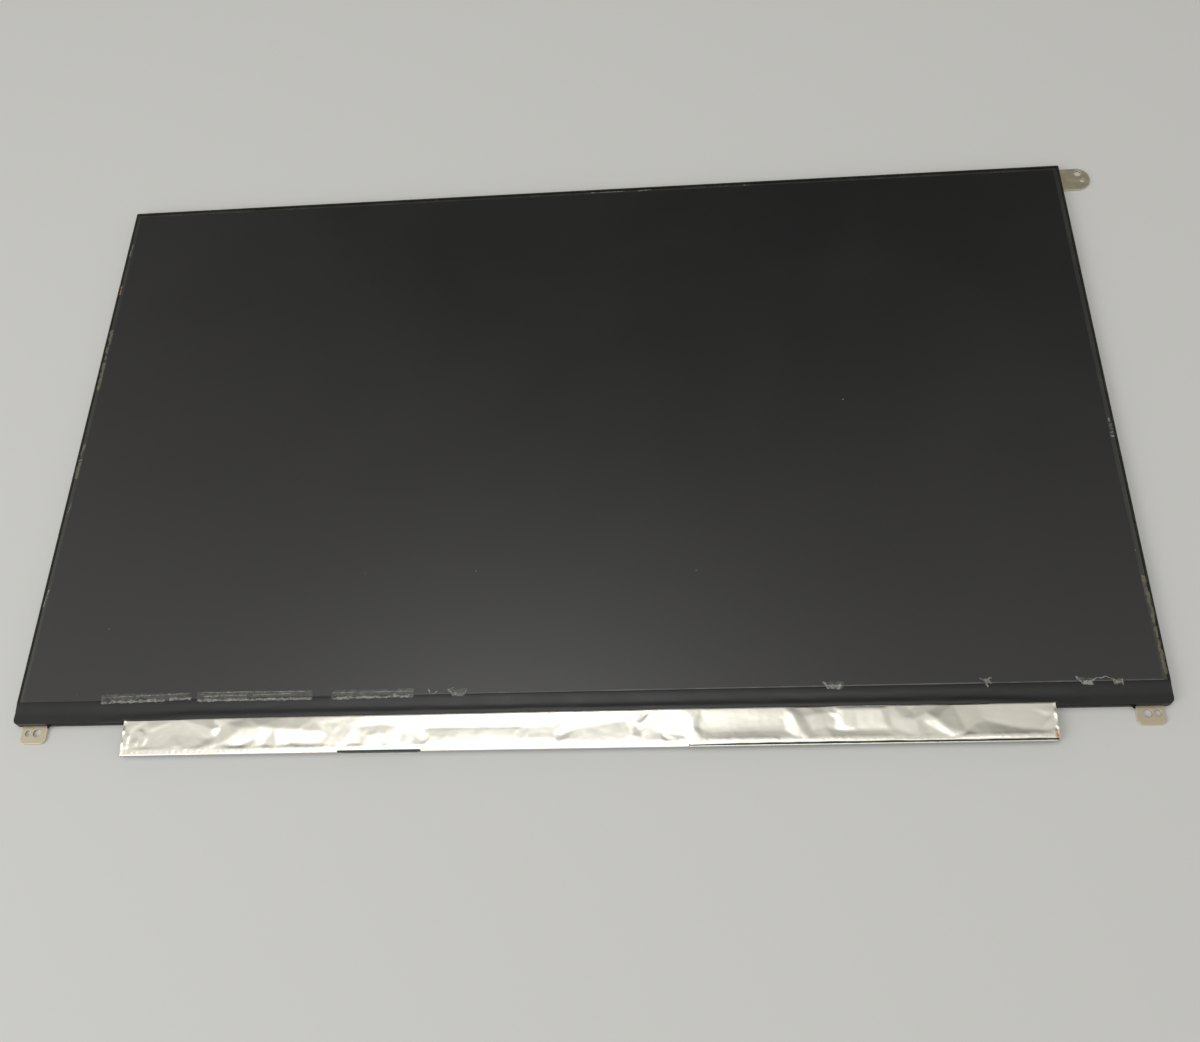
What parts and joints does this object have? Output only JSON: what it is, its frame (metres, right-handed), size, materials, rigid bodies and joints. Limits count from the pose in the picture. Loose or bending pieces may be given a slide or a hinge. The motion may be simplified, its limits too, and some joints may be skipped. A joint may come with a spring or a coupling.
{
  "type": "laptop screen panel",
  "caption": "Slim flat laptop display module with a dark satin screen, thin black frame, foil-covered control board along its lower edge and stamped steel fixing tabs.",
  "frame": {"origin": "centre of the module's outline on the back plate's outer face, which lies on the table", "axes": "+X along the screen's width to the right, +Y towards the screen's top edge, +Z out of the screen"},
  "size_m": [0.3096, 0.1876, 0.0026],
  "materials": {
    "screen_film": "satin anti-glare polarizer, dark charcoal",
    "clear_film": "clear optical film",
    "cell_glass": "thin display glass",
    "black_plastic": "moulded black plastic",
    "black_tape": "thin black film tape",
    "plate_metal": "rolled aluminium sheet",
    "bracket_steel": "nickel-toned stamped steel",
    "shield_foil": "crumpled aluminium foil tape",
    "board_green": "green solder mask",
    "chip_black": "moulded chip package",
    "white_film": "white reflecting film",
    "clear_acrylic": "clear acrylic sheet",
    "amber_flex": "amber flexible circuit",
    "led_white": "white LED package",
    "contact_gold": "gold-plated contact",
    "shell_steel": "thin stainless shell",
    "capacitor_tan": "ceramic chip with tinned ends",
    "resistor_black": "film chip with tinned ends",
    "inductor_grey": "pressed ferrite can"
  },
  "bodies": {
    "root": {"array_glass": "cell_glass", "back_plate": "plate_metal", "bracket_bottom_left": "bracket_steel", "bracket_bottom_right": "bracket_steel", "bracket_top_right": "bracket_steel", "capacitors": "capacitor_tan", "cell_tape": "black_tape", "colour_filter_glass": "cell_glass", "connector_contacts": "contact_gold", "connector_housing": "chip_black", "connector_shell": "shell_steel", "control_board": "board_green", "cover_tape": "black_tape", "diffuser_sheet": "white_film", "driver_chips": "chip_black", "driver_films": "amber_flex", "front_polarizer": "screen_film", "inductors": "inductor_grey", "led_driver_chip": "chip_black", "led_flex": "amber_flex", "leds": "led_white", "light_guide": "clear_acrylic", "lower_prism_sheet": "clear_film", "memory_chip": "chip_black", "mould_frame": "black_plastic", "power_chip": "chip_black", "rear_polarizer": "screen_film", "reflector_sheet": "white_film", "resistors": "resistor_black", "shield_foil": "shield_foil", "timing_controller": "chip_black", "upper_prism_sheet": "clear_film"}
  },
  "joints": []
}
